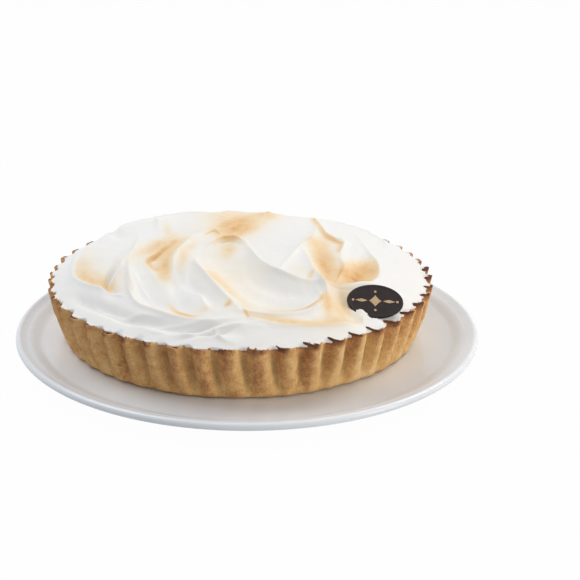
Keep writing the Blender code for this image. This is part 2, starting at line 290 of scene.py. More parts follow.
@dataclass(frozen=True)
class BakedShortcrust:
    """Sweet shortcrust pastry, pressed into a fluted tin and baked.

    Butter and sugar brown unevenly, so the wall is mottled gold and brown with a dry, sandy
    crumb, near scorched at its thin top edge.  Shade is painted into its colour: a darker
    greyish brown in the folds, and darker left and lighter right flanks on the flutes.
    """

    pale: str = "E9CF9E"
    golden: str = "DBAF71"
    brown: str = "B37B4C"
    scorched: str = "5E3722"
    # painted shade colour for the valleys of the flutes
    valley_shade_colour: str = "857049"
    roughness: float = 0.78
    crumb: float = 1.1 * MM
    mottle: float = 7.0 * MM

    def make(self) -> bpy.types.Material:
        """Build the finish.

        Returns:
            The material, which reads two point attributes: one from 0 pale to 1 scorched, which
            also carries painted shade and light on the flutes' flanks, and one that is 1 in a
            flute's valley, where shade is painted in a darker greyish brown.
        """
        material, shader = new_material("baked_shortcrust")
        tree = material.node_tree
        place = add_node(tree, "ShaderNodeTexCoord").outputs["Object"]
        # the bake level also carries painted shade and light on the flutes' flanks
        bake_and_shade = add_node(tree, "ShaderNodeAttribute", {"attribute_name": "bake_and_shade"}).outputs["Fac"]
        mottle = add_node(tree, "ShaderNodeTexNoise", {"noise_dimensions": "3D"},
                          {"Scale": 1.0 / self.mottle, "Detail": 6.0, "Roughness": 0.65},
                          {"Vector": place}).outputs["Fac"]
        drift = add_node(tree, "ShaderNodeMapRange", {"clamp": True},
                         {"From Min": 0.28, "From Max": 0.72, "To Min": -0.17, "To Max": 0.17},
                         {"Value": mottle}).outputs["Result"]
        grain = add_node(tree, "ShaderNodeTexNoise", {"noise_dimensions": "3D"},
                         {"Scale": 1.0 / self.crumb, "Detail": 2.0, "Roughness": 0.6},
                         {"Vector": place}).outputs["Fac"]
        fleck = add_node(tree, "ShaderNodeMapRange", {"clamp": True},
                         {"From Min": 0.35, "From Max": 0.65, "To Min": -0.07, "To Max": 0.07},
                         {"Value": grain}).outputs["Result"]
        uneven = add_node(tree, "ShaderNodeMath", {"operation": "ADD"},
                          links={0: drift, 1: fleck}).outputs["Value"]
        level = add_node(tree, "ShaderNodeMath", {"operation": "ADD", "use_clamp": True},
                         links={0: bake_and_shade, 1: uneven}).outputs["Value"]
        ramp = add_node(tree, "ShaderNodeValToRGB", links={"Fac": level})
        set_ramp(ramp, ((0.05, self.pale), (0.35, self.golden), (0.62, self.brown),
                        (0.95, self.scorched)))
        # painted shade: the flutes' valleys are darkened towards a greyish brown
        valley_shade = add_node(tree, "ShaderNodeAttribute", {"attribute_name": "valley_shade"}).outputs["Fac"]
        valley_shade_share = add_node(tree, "ShaderNodeMath", {"operation": "MULTIPLY"}, {1: 0.42},
                          {0: valley_shade}).outputs["Value"]
        mix = add_node(tree, "ShaderNodeMix", {"data_type": "RGBA"}, {"B": srgb(self.valley_shade_colour)},
                       {"Factor": valley_shade_share, "A": ramp.outputs["Color"]})
        tree.links.new(mix.outputs["Result"], shader.inputs["Base Color"])
        relief = add_node(tree, "ShaderNodeBump", None,
                          {"Strength": 0.6, "Distance": 0.5 * MM}, {"Height": grain})
        tree.links.new(relief.outputs["Normal"], shader.inputs["Normal"])
        shader.inputs["Roughness"].default_value = self.roughness
        shader.inputs["Specular IOR Level"].default_value = 0.35
        return material


@dataclass(frozen=True)
class GlazedPorcelain:
    """White porcelain, pressed, dipped in clear glaze and fired.

    The glaze is glassy and level, so the plate mirrors the pastry softly.  It lies a little
    thicker in places, which shows as a faint drift of tint and gloss.
    """

    body: str = "ECEFF2"
    pooled: str = "E3E7EB"
    roughness: float = 0.24
    pooling: float = 60.0 * MM

    def make(self) -> bpy.types.Material:
        """Build the finish.

        Returns:
            The material.
        """
        material, shader = new_material("glazed_porcelain")
        tree = material.node_tree
        place = add_node(tree, "ShaderNodeTexCoord").outputs["Object"]
        drift = add_node(tree, "ShaderNodeTexNoise", {"noise_dimensions": "3D"},
                         {"Scale": 1.0 / self.pooling, "Detail": 1.0, "Roughness": 0.5},
                         {"Vector": place}).outputs["Fac"]
        ramp = add_node(tree, "ShaderNodeValToRGB", links={"Fac": drift})
        set_ramp(ramp, ((0.35, self.pooled), (0.65, self.body)))
        tree.links.new(ramp.outputs["Color"], shader.inputs["Base Color"])
        wipe = add_node(tree, "ShaderNodeMapRange", {"clamp": True},
                        {"From Min": 0.3, "From Max": 0.7, "To Min": self.roughness - 0.02,
                         "To Max": self.roughness + 0.04},
                        {"Value": drift}).outputs["Result"]
        tree.links.new(wipe, shader.inputs["Roughness"])
        return material


@dataclass(frozen=True)
class TemperedChocolate:
    """Dark chocolate, cast in a shallow mould and snapped out.

    Tempered chocolate sets with a satin skin that shows faint swirls of cocoa butter.
    """

    dark: str = "1A0F10"
    bloom: str = "281A1A"
    roughness: float = 0.5
    swirl: float = 5.0 * MM

    def make(self) -> bpy.types.Material:
        """Build the finish.

        Returns:
            The material.
        """
        material, shader = new_material("tempered_dark_chocolate")
        tree = material.node_tree
        place = add_node(tree, "ShaderNodeTexCoord").outputs["Object"]
        swirl = add_node(tree, "ShaderNodeTexNoise", {"noise_dimensions": "3D"},
                         {"Scale": 1.0 / self.swirl, "Detail": 4.0, "Distortion": 0.8},
                         {"Vector": place}).outputs["Fac"]
        ramp = add_node(tree, "ShaderNodeValToRGB", links={"Fac": swirl})
        set_ramp(ramp, ((0.35, self.dark), (0.75, self.bloom)))
        tree.links.new(ramp.outputs["Color"], shader.inputs["Base Color"])
        relief = add_node(tree, "ShaderNodeBump", None,
                          {"Strength": 0.1, "Distance": 0.1 * MM}, {"Height": swirl})
        tree.links.new(relief.outputs["Normal"], shader.inputs["Normal"])
        shader.inputs["Roughness"].default_value = self.roughness
        shader.inputs["IOR"].default_value = 1.45
        shader.inputs["Specular IOR Level"].default_value = 0.35
        return material


@dataclass(frozen=True)
class CocoaButterPrint:
    """Coloured cocoa butter, screened onto the chocolate: tan, thin and slightly grainy."""

    tint: str = "C8AC84"
    worn: str = "A98B63"
    roughness: float = 0.45
    grain: float = 0.7 * MM

    def make(self) -> bpy.types.Material:
        """Build the finish.

        Returns:
            The material.
        """
        material, shader = new_material("cocoa_butter_print")
        tree = material.node_tree
        place = add_node(tree, "ShaderNodeTexCoord").outputs["Object"]
        grain = add_node(tree, "ShaderNodeTexNoise", {"noise_dimensions": "3D"},
                         {"Scale": 1.0 / self.grain, "Detail": 2.0}, {"Vector": place}).outputs["Fac"]
        ramp = add_node(tree, "ShaderNodeValToRGB", links={"Fac": grain})
        set_ramp(ramp, ((0.35, self.worn), (0.55, self.tint)))
        tree.links.new(ramp.outputs["Color"], shader.inputs["Base Color"])
        shader.inputs["Roughness"].default_value = self.roughness
        return material


# ------------------------------------------------------------------------------- spatula marks

class Flank(Enum):
    """A side of a swept line, as seen when travelling along it."""

    LEFT = 1.0
    RIGHT = -1.0


@dataclass(frozen=True)
class SweptLine:
    """A smooth curve through points, each x, y and amount, in millimetres about the pie's axis.

    The amount is a height for a spatula mark and a strength for a torch mark.
    """

    points: tuple[Point, ...]

    def path(self, steps: int = 6) -> Array:
        """Points of the Catmull-Rom curve through the line's own points.

        Between knots b and c, with neighbours a and d, half of
        2b + (c-a) t + (2a-5b+4c-d) t^2 + (3b-a-3c+d) t^3, for t from 0 to 1.
        """
        knots = np.array(self.points, dtype=float)
        ends = np.vstack([2.0 * knots[0] - knots[1], knots, 2.0 * knots[-1] - knots[-2]])
        t = np.linspace(0.0, 1.0, steps, endpoint=False)[None, :, None]
        spans = len(knots) - 1
        a, b, c, d = (ends[i:i + spans, None, :] for i in range(4))
        curve = 0.5 * (2.0 * b + (c - a) * t + (2.0 * a - 5.0 * b + 4.0 * c - d) * t ** 2
                       + (3.0 * b - a - 3.0 * c + d) * t ** 3)
        return np.vstack([curve.reshape(-1, 3), knots[-1:]])

    def nearest(self, x: Array, y: Array) -> tuple[Array, Array]:
        """Find the nearest point of the curve for every point of a grid.

        Args:
            x: grid coordinates in millimetres.
            y: grid coordinates in millimetres.

        Returns:
            Signed distance, positive on the left flank, and the amount at the nearest point.
        """
        path = self.path()
        best = np.full(x.shape, np.inf)
        signed = np.zeros(x.shape)
        amount = np.zeros(x.shape)
        for first, second in zip(path, path[1:]):
            run = second - first
            length_sq = run[0] ** 2 + run[1] ** 2
            along = ((x - first[0]) * run[0] + (y - first[1]) * run[1]) / length_sq
            along = np.clip(along, 0.0, 1.0)
            gap_x = x - first[0] - along * run[0]
            gap_y = y - first[1] - along * run[1]
            distance = np.hypot(gap_x, gap_y)
            closer = distance < best
            side = np.where(run[0] * gap_y - run[1] * gap_x >= 0.0, 1.0, -1.0)
            best = np.where(closer, distance, best)
            signed = np.where(closer, side * distance, signed)
            amount = np.where(closer, first[2] + along * run[2], amount)
        return signed, amount


@dataclass(frozen=True)
class Ridge(SweptLine):
    """A crest that the spatula leaves: crisp on top, with flanks of different width."""

    left: float
    right: float
    edge: float = 0.4
    crisp: float = 0.32

    def relief(self, x: Array, y: Array) -> Array:
        """Height h exp(-d / w), with a crisp share of it as a thin lip, h exp(-d / 0.9 mm).

        The crest is rounded over `edge` millimetres.
        """
        signed, height = self.nearest(x, y)
        width = np.where(signed > 0.0, self.left, self.right)
        reach = np.sqrt(signed ** 2 + self.edge ** 2) - self.edge
        broad = np.exp(-reach / width)
        lip = np.exp(-reach / 0.9)
        return height * ((1.0 - self.crisp) * broad + self.crisp * lip)


@dataclass(frozen=True)
class Hollow(SweptLine):
    """A round trough: height h exp(-(d / radius) squared)."""

    radius: float

    def relief(self, x: Array, y: Array) -> Array:
        """Height of the trough at every grid point."""
        signed, height = self.nearest(x, y)
        return height * np.exp(-(signed / self.radius) ** 2)


@dataclass(frozen=True)
class Comb(SweptLine):
    """Fine uneven grooves that a spatula drags along its path, side by side."""

    pitch: float
    reach: float

    def relief(self, x: Array, y: Array) -> Array:
        """Height h times a random field, narrow across the path and long along it.

        It fades with exp(-(d / reach) squared).
        """
        signed, height = self.nearest(x, y)
        grooves = smooth_noise(signed / self.pitch + 20.0, (x + y) / 22.0 + 20.0, 17)
        return height * grooves * np.exp(-(signed / self.reach) ** 2)


@dataclass(frozen=True)
class Swell:
    """A broad round rise of the foam, or a dent where the height is negative."""

    x: float
    y: float
    height: float
    radius: float

    def relief(self, x: Array, y: Array) -> Array:
        """Height h exp(-(d / radius) squared) at every grid point."""
        distance_sq = (x - self.x) ** 2 + (y - self.y) ** 2
        return self.height * np.exp(-distance_sq / self.radius ** 2)


@dataclass(frozen=True)
class TorchPass:
    """Where the flame dwelt: a soft oval of browning, optionally kept to a flank of a ridge."""

    x: float
    y: float
    length: float
    width: float
    turn: float
    strength: float
    edge: float = 1.0
    behind: Optional[str] = None
    flank: Flank = Flank.LEFT

    def browning(self, x: Array, y: Array) -> Array:
        """Strength times exp(-(oval distance) to the power 2 x edge)."""
        angle = math.radians(self.turn)
        along = (x - self.x) * math.cos(angle) + (y - self.y) * math.sin(angle)
        across = -(x - self.x) * math.sin(angle) + (y - self.y) * math.cos(angle)
        reach = (along / self.length) ** 2 + (across / self.width) ** 2
        return self.strength * np.exp(-reach ** self.edge)


@dataclass(frozen=True)
class Scorch(SweptLine):
    """A line that the flame followed: browning b exp(-(d / w) squared), w by the flank."""

    left: float
    right: float
    behind: Optional[str] = None
    flank: Flank = Flank.LEFT

    def browning(self, x: Array, y: Array) -> Array:
        """Browning at every grid point."""
        signed, strength = self.nearest(x, y)
        width = np.where(signed > 0.0, self.left, self.right)
        return strength * np.exp(-(signed / width) ** 2)


RIDGES: dict[str, Ridge] = {
    "left_brow": Ridge(((-112, 48, 0.3), (-115, 12, 1.2), (-112, -20, 2.0), (-108, -33, 2.3),
                        (-100, -46, 2.6), (-88, -58, 2.6), (-78, -67, 1.8), (-70, -74, 0.5)),
                       18, 4.5),
    "scoop_brow": Ridge(((-73, -38, 0.4), (-70, -60, 2.0), (-66, -75, 2.6), (-60, -85, 2.8),
                         (-50, -93, 2.9), (-40, -99, 2.7), (-25, -105, 2.0), (-5, -109, 1.2),
                         (18, -110, 0.4)), 9, 4.5),
    "lobe_nose": Ridge(((-66, 2, 0.3), (-70, -14, 1.6), (-73, -22, 2.2), (-77, -31, 1.8),
                        (-77, -42, 0.5)), 6, 2.5, 1.2),
    "long_crest": Ridge(((-22, 46, 0.5), (-30, 27, 1.6), (-37, 5, 2.4), (-42, -20, 3.0),
                         (-43, -35, 2.6), (-41, -50, 1.8), (-38, -62, 0.3)), 5, 4),
    "second_crest": Ridge(((-44, 22, 0.3), (-48, 4, 1.4), (-54, -12, 1.8), (-60, -28, 1.6),
                           (-57, -44, 1.0), (-50, -62, 0.3)), 3, 5),
    "horn": Ridge(((-30, -18, 0.6), (-28, -36, 3.2), (-22, -52, 4.0), (-16, -65, 3.8),
                   (-10, -77, 3.0), (-3, -87, 1.9), (3, -95, 0.3)), 7, 3, 1.6),
    "horn_foot": Ridge(((-30, -72, 0.4), (-24, -78, 2.0), (-20, -86, 1.4), (-17, -94, 0.3)), 3, 4, 1),
    "bowl_rim": Ridge(((-25, -20, 0.4), (-22, -6, 1.3), (-20, 5, 1.8), (-16, 13, 2.1),
                       (-9, 17, 2.2), (-3, 15, 1.8), (2, 5, 0.6)), 3.5, 2.4),
    "hook": Ridge(((-32, 12, 0.3), (-28, 24, 1.1), (-21, 32, 1.6), (-16, 27, 0.8), (-15, 20, 0.3)),
                  2, 2.4),
    "middle_left": Ridge(((2, 10, 1.0), (5, -5, 2.4), (8, -16, 3.0), (13, -32, 3.6),
                          (20, -44, 3.8), (30, -52, 3.4), (40, -57, 2.6), (52, -58, 1.2)), 14, 3.5),
    "middle_right": Ridge(((50, 88, 0.3), (52, 62, 1.2), (50, 30, 2.0), (47, 10, 2.4),
                           (42, 0, 2.5), (35, -20, 2.2), (30, -35, 1.5), (27, -47, 0.5)), 3, 13),
    "spout": Ridge(((40, -2, 0.4), (43, -12, 1.4), (46, -28, 2.0), (49, -44, 2.4),
                    (53, -56, 2.8), (57, -62, 1.6)), 3, 3.5),
    "outer_fold": Ridge(((50, 84, 0.3), (53, 70, 1.1), (56, 45, 1.6), (58, 32, 2.0),
                         (64, 22, 2.4), (70, 17, 2.3), (69, 2, 1.8), (67, -16, 2.1),
                         (69, -30, 1.9), (66, -44, 1.2), (62, -57, 0.4)), 4.5, 2.0),
    "pale_fold": Ridge(((78, 22, 0.3), (79, 4, 0.9), (76, -10, 0.8), (71, -24, 0.3)), 4, 3),
    "right_brow": Ridge(((80, 46, 0.4), (84, 20, 1.2), (88, 0, 2.0), (92, -15, 2.5),
                         (92, -33, 2.6), (88, -44, 2.0), (80, -51, 1.0), (66, -57, 0.4)), 12, 3),
    "scoop_lip": Ridge(((53, -52, 1.2), (57, -65, 2.2), (56, -78, 2.6), (50, -88, 2.6),
                        (40, -95, 2.4), (25, -99, 2.0), (10, -98, 1.2), (-2, -95, 0.3)), 2.2, 3),
    "inner_lip": Ridge(((51, -62, 0.3), (53, -74, 1.5), (46, -86, 1.7), (34, -92, 1.3),
                        (18, -95, 0.4)), 1.4, 1.8, 0.4, 0.4),
    "left_fold": Ridge(((-69, -42, 0.3), (-64, -56, 1.2), (-58, -70, 1.2), (-52, -80, 0.3)),
                       1.6, 2.4, 0.4, 0.4),
    "front_step": Ridge(((-62, -102, 0.3), (-44, -112, 1.1), (-22, -117, 1.1), (-2, -119, 0.3)),
                        1.8, 3),
    "feather": Ridge(((-40, -120, 0.3), (-27, -116, 1.0), (-12, -113, 1.2), (0, -110, 1.1),
                      (14, -107, 0.3)), 2.6, 1.3, 0.3, 0.4),
    "feather_tip": Ridge(((-60, -104, 0.2), (-44, -106, 0.9), (-28, -108, 1.1), (-10, -106, 0.9),
                          (6, -102, 0.2)), 2.4, 1.2, 0.3, 0.4),
    "left_crease": Ridge(((-94, -66, 0.3), (-82, -81, 1.2), (-70, -91, 1.5), (-58, -94, 1.1),
                          (-46, -100, 0.3)), 2.2, 1.3, 0.3, 0.4),
    "front_brow": Ridge(((8, -103, 0.5), (30, -108, 1.5), (58, -102, 1.9), (75, -93, 1.5),
                         (88, -84, 0.5)), 5, 7),
    "back_crest": Ridge(((20, 122, 0.2), (17, 100, 1.6), (14, 76, 1.4), (14, 60, 0.3)), 9, 9),
    "back_left": Ridge(((-68, 116, 0.3), (-67, 95, 0.7), (-62, 60, 1.4), (-60, 40, 0.4)), 7, 2.5),
    "gully_fold": Ridge(((-81, -55, 0.4), (-79, -42, 1.6), (-77, -30, 2.2), (-73, -12, 2.6),
                         (-72, 6, 2.0), (-72, 24, 0.8), (-74, 40, 0.2)), 1.6, 2.6),
    "gully_fork": Ridge(((-73, -20, 0.4), (-72, -38, 2.0), (-69, -55, 2.2), (-65, -71, 1.2)),
                        3.0, 1.5),
    "back_sweep": Ridge(((96, 62, 0.4), (70, 92, 1.5), (38, 112, 1.5), (4, 117, 1.2),
                         (-30, 113, 0.4)), 14, 3),
    "left_sweep": Ridge(((-40, 110, 0.4), (-68, 92, 1.6), (-92, 66, 2.0), (-106, 40, 1.2),
                         (-113, 18, 0.3)), 14, 3),
    "back_fold": Ridge(((-12, 64, 0.3), (-34, 84, 1.4), (-60, 98, 1.4), (-82, 92, 0.4)), 8, 3),
    "right_fold": Ridge(((98, 18, 0.3), (101, 42, 1.5), (87, 74, 1.4), (64, 98, 0.4)), 8, 3),
    "front_curl": Ridge(((-12, -112, 0.3), (-10, -117, 1.3), (-6, -121, 1.4), (0, -123, 0.8)), 2, 1.2),
}
HOLLOWS: dict[str, Hollow] = {
    "comma_scoop": Hollow(((-8, 12, -0.8), (-10, -12, -2.6), (-7, -36, -3.4), (2, -58, -4.0),
                           (16, -74, -4.2), (32, -80, -4.0), (46, -74, -2.0)), 14),
    "scoop_shade": Hollow(((6, -30, -0.8), (14, -52, -2.4), (28, -65, -2.6), (46, -68, -1.2)), 7),
    "lobe_gully": Hollow(((-76, 16, -0.5), (-80, -12, -2.8), (-83, -35, -4.0), (-84, -50, -3.6),
                          (-80, -64, -2.2), (-75, -72, -0.3)), 3.0),
    "left_scoop": Hollow(((-62, -45, -0.8), (-60, -62, -2.4), (-54, -78, -2.8), (-42, -88, -2.4),
                          (-28, -96, -1.4)), 8),
    "horn_gully": Hollow(((-34, -26, -0.8), (-34, -46, -2.6), (-30, -62, -3.2), (-22, -76, -2.4),
                          (-14, -88, -1.0)), 4.5),
    "grey_valley": Hollow(((-38, -48, -1.0), (-38, -66, -2.2), (-35, -82, -1.4), (-30, -92, -0.4)), 5),
    "streak_a": Hollow(((-47, 6, -0.6), (-51, -6, -1.6), (-56, -20, -1.8), (-60, -30, -0.6)), 1.8),
    "streak_b": Hollow(((-62, -26, -0.5), (-58, -35, -1.3), (-54, -42, -0.4)), 1.6),
    "feather_gap": Hollow(((-50, -112, -0.3), (-32, -113, -1.2), (-14, -110, -1.2), (2, -106, -0.3)), 1.5),
    "bowl_shade": Hollow(((-18, 4, -0.4), (-14, 10.5, -1.2), (-9, 13.5, -1.5), (-4, 11.5, -1.2),
                          (0, 4, -0.3)), 1.7),
    "area_a": Hollow(((54, 20, -0.5), (56, -5, -1.6), (58, -30, -2.0), (57, -50, -1.2)), 5),
    "area_b": Hollow(((80, -8, -0.8), (82, -26, -2.2), (77, -42, -2.0), (70, -52, -0.8)), 7),
    "rim_crease": Hollow(((-106, -54, -0.5), (-98, -64, -2.4), (-84, -78, -3.0), (-70, -91, -3.0),
                          (-58, -99, -2.6), (-42, -107, -2.0), (-20, -113, -1.2), (4, -116, -0.4)),
                         3.6),
    "front_fold": Hollow(((-40, -120, -0.4), (-25, -117, -1.3), (-10, -115, -1.4), (2, -111, -0.4)),
                         1.6),
    "back_gully": Hollow(((-96, 94, -0.5), (-95, 70, -1.6), (-91, 50, -1.6), (-84, 32, -0.4)), 4),
    "back_valley": Hollow(((48, 98, -0.6), (20, 110, -2.0), (-14, 112, -1.6), (-44, 102, -0.5)), 6),
    "plaque_bank": Hollow(((74, -55, 1.5), (87, -57, 4.4), (102, -57, 2.2)), 7),
    "plaque_foot": Hollow(((68, -62, -1.0), (67, -76, -3.0), (75, -87, -3.0), (91, -86, -2.4),
                           (103, -74, -1.6), (108, -60, -0.3)), 6.5),
}
COMBS: tuple[Comb, ...] = (
    Comb(((52, -60, 0.1), (53, -76, 0.45), (44, -89, 0.45), (26, -95, 0.35), (8, -94, 0.1)), 2.6, 4),
    Comb(((-66, -42, 0.1), (-61, -60, 0.5), (-54, -76, 0.3), (-44, -88, 0.1)), 3.4, 6),
    Comb(((-50, 24, 0.1), (-52, 0, 0.5), (-58, -20, 0.5), (-56, -44, 0.1)), 3.8, 9),
    Comb(((-14, 20, 0.1), (-16, -10, 0.3), (-16, -44, 0.3), (-4, -72, 0.1)), 4.2, 9),
    Comb(((60, 20, 0.1), (61, -10, 0.45), (60, -45, 0.3)), 2.6, 7),
    Comb(((84, 20, 0.1), (84, -12, 0.4), (78, -42, 0.3)), 2.6, 8),
    Comb(((-60, -96, 0.1), (-30, -108, 0.4), (10, -108, 0.4), (46, -100, 0.2)), 2.8, 6),
    Comb(((-108, -6, 0.1), (-104, -32, 0.35), (-90, -52, 0.3), (-80, -62, 0.1)), 3.6, 8),
    Comb(((-20, 60, 0.1), (-14, 86, 0.6), (-12, 112, 0.2)), 6.5, 16),
    Comb(((96, 40, 0.1), (101, 5, 0.35), (99, -30, 0.3), (94, -48, 0.1)), 5.0, 10),
)
SWELLS: tuple[Swell, ...] = (
    Swell(-52, 84, 1.8, 40),
    Swell(-12, 95, 1.4, 14),
    Swell(-80, 68, 2.6, 20),
    Swell(50, 84, 1.2, 16),
    Swell(-10, 60, 1.5, 40),
    Swell(26, 20, 1.6, 24),
    Swell(66, 40, 1.6, 10),
    Swell(79.5, -84.5, 1.3, 1.7),
    Swell(99, -22, 0.9, 5),
    Swell(103, -36, 0.8, 4),
)
TORCH: tuple[TorchPass | Scorch, ...] = (
    Scorch(((-111, 16, 0.10), (-109, -10, 0.30), (-106, -28, 0.42), (-98, -43, 0.46),
            (-87, -55, 0.42), (-79, -63, 0.15)), 12, 3, "left_brow"),
    TorchPass(-57, 2, 26, 10, 66, 0.46),
    Scorch(((-46, 8, 0.15), (-51, -6, 0.50), (-56, -20, 0.62), (-60, -30, 0.4),
            (-54, -42, 0.15)), 3, 3),
    Scorch(((-38, 14, 0.15), (-45, -6, 0.42), (-48, -28, 0.55), (-47, -46, 0.5),
            (-45, -62, 0.1)), 4, 7, "long_crest", Flank.RIGHT),
    Scorch(((-30, 10, 0.1), (-37, -14, 0.30), (-39, -40, 0.15)), 4, 4, "long_crest"),
    TorchPass(-5, 37, 22, 14, 82, 0.56, 1.3),
    TorchPass(-6, 44, 30, 22, 82, 0.22),
    Scorch(((-21, 2, 0.1), (-16, 12, 0.35), (-9, 16.4, 0.68), (-3, 14.6, 0.6), (1, 8, 0.15)),
           1.0, 1.0),
    Scorch(((-26, 22, 0.15), (-20, 29, 0.5), (-16, 24, 0.3)), 0.9, 0.9),
    TorchPass(-9, -2, 13, 6, 88, 0.30),
    TorchPass(-5, -42, 44, 20, -72, 0.15),
    Scorch(((-21, -40, 0.1), (-15, -58, 0.28), (-5, -74, 0.26), (6, -88, 0.1)), 7, 4, "horn"),
    TorchPass(26, -88, 22, 6, 12, 0.16),
    TorchPass(-5, -90, 3, 2, 60, 0.55),
    Scorch(((5, -95, 0.4), (8, -102, 0.45)), 0.9, 0.9),
    Scorch(((-42, -83, 0.15), (-36, -93, 0.5), (-28, -99, 0.55), (-21, -101, 0.15)), 2, 2.6),
    TorchPass(-19, -94, 6, 4, 0, 0.22),
    Scorch(((-63, -82, 0.1), (-52, -90, 0.32), (-40, -97, 0.36), (-27, -103, 0.2)), 1.8, 1.6),
    TorchPass(16, 92, 32, 11, 88, 0.52),
    TorchPass(-2, 66, 24, 12, 90, 0.34),
    TorchPass(-20, 88, 40, 18, 90, 0.18),
    Scorch(((-57, 60, 0.1), (-54, 42, 0.2), (-51, 28, 0.15)), 4, 3),
    Scorch(((-61, 116, 0.15), (-60, 104, 0.22), (-55, 112, 0.15)), 3, 3),
    TorchPass(54, 14, 14, 9, 84, 0.28),
    Scorch(((52, 8, 0.25), (54, -8, 0.5), (56, -22, 0.66), (58, -38, 0.60), (57, -54, 0.35)),
           9, 8, "spout"),
    TorchPass(80, -32, 25, 12, 70, 0.62, 1.7, "right_brow", Flank.RIGHT),
    TorchPass(74, -42, 14, 9, 50, 0.25, 1.2, "right_brow", Flank.RIGHT),
    Scorch(((67, -28, 0.2), (66, -40, 0.5), (62, -54, 0.3)), 0.9, 0.9),
    TorchPass(57, -80, 11, 3.4, 90, 0.45),
    Scorch(((10, -101, 0.2), (28, -105, 0.42), (46, -104, 0.42), (62, -98, 0.34),
            (76, -89, 0.2)), 5, 3),
    Scorch(((54, -70, 0.2), (52, -78, 0.42), (44, -88, 0.45), (30, -93, 0.3), (16, -96, 0.1)),
           0.9, 0.9),
    TorchPass(66, -76, 22, 10, 78, 0.40),
    TorchPass(39, -44, 12, 6, 82, 0.13),
    TorchPass(47, -50, 8, 2.5, 80, 0.35, 1.2, "spout", Flank.RIGHT),
    Scorch(((50, 80, 0.3), (52, 66, 0.5), (55, 45, 0.4), (58, 30, 0.4), (64, 20, 0.5),
            (69, 14, 0.5), (67, -2, 0.3)), 0.8, 3.5),
)


# ------------------------------------------------------------------------------ sub-assemblies

@dataclass
class PiePlan:
    """Shared places and sizes of pastry and meringue; axis and base come from the crust's solid."""

    centre: Vector = field(default_factory=Vector)
    floor: float = 0.0
    wall_height: float = 35.0
    rim_radius: float = 127.8
    base_radius: float = 120.0
    flutes: int = 48
    flute_depth: float = 3.0

    def __post_init__(self) -> None:
        """Find the pie's axis and the bottom of its case."""
        low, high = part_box("crust")
        self.centre = Vector((0.5 * (low.x + high.x), 0.5 * (low.y + high.y)))
        self.floor = low.z

    def place(self, x: Array, y: Array, z: Array) -> Array:
        """Turn millimetres about the pie's axis, up from its base, into rows of metres."""
        return np.stack([self.centre.x + np.ravel(x) * MM, self.centre.y + np.ravel(y) * MM,
                         self.floor + np.ravel(z) * MM], -1)

    def flute_phase(self, angle: Array, level: Array | float = 1.0) -> Array:
        """Phase of the flutes, 0 on a crest: evenly spaced, but drifting and leaning a little."""
        drift = 0.9 * ring_noise(angle, 19, 71)
        slant = 1.4 * smoothstep(-0.1, 1.0, np.cos(angle - math.radians(232.0)))
        lean = (0.9 * ring_noise(angle, 23, 73) + slant) * (level - 0.5)
        return self.flutes * angle + drift + lean

    def flute_wave(self, angle: Array, level: Array | float = 1.0) -> Array:
        """Outline of the flutes, +1 on broad crests and -1 in narrow valleys.

        It is 1 - 2 |sin(phase / 2)| to the power 3.4.
        """
        return 1.0 - 2.0 * np.abs(np.sin(0.5 * self.flute_phase(angle, level))) ** 3.4

    def wall_radius(self, angle: Array, level: Array) -> Array:
        """Outer radius of the pastry wall at a level from 0 (base) to 1 (rim)."""
        mean = self.base_radius + level * (self.rim_radius - self.base_radius)
        uneven = 1.0 + 0.3 * ring_noise(angle, 24, 75)
        depth = self.flute_depth * uneven * np.clip(0.08 + 1.5 * level, 0.0, 1.0)
        return mean + depth * self.flute_wave(angle, level)

    def tip_height(self, angle: Array) -> Array:
        """How far the ragged top edge of the wall stands above the rim's mean height.

        On the right it is saw-toothed: each flute is tallest at its left corner and falls away
        to the right.  Elsewhere it is low and only crumbly.
        """
        turn = (self.flute_phase(angle) / math.tau + 0.5) % 1.0
        tooth = smoothstep(0.0, 0.12, turn) * (1.0 - turn) ** 0.75
        proud = smoothstep(0.35, 0.95, np.cos(angle - math.radians(-32.0)))
        front = smoothstep(0.3, -0.4, np.sin(angle))
        chance = 0.5 + 0.5 * ring_noise(angle, self.flutes, 5)
        crest = 0.5 + 0.5 * self.flute_wave(angle)
        low = 0.5 + (0.7 + 0.9 * front) * crest * chance
        crumbly = 0.42 * ring_noise(angle, 300, 9) + 0.25 * ring_noise(angle, 700, 10)
        return 4.5 * tooth * proud * (0.55 + 0.5 * chance) + low * (1.0 - proud) + crumbly

    def tear(self, angle: Array) -> Array:
        """How far the foam has slipped into the flutes' valleys, from 0 to 1."""
        valley = smoothstep(-0.1, -0.9, self.flute_wave(angle))
        chance = smoothstep(-0.1, 0.8, ring_noise(angle, self.flutes, 25))
        return valley * chance


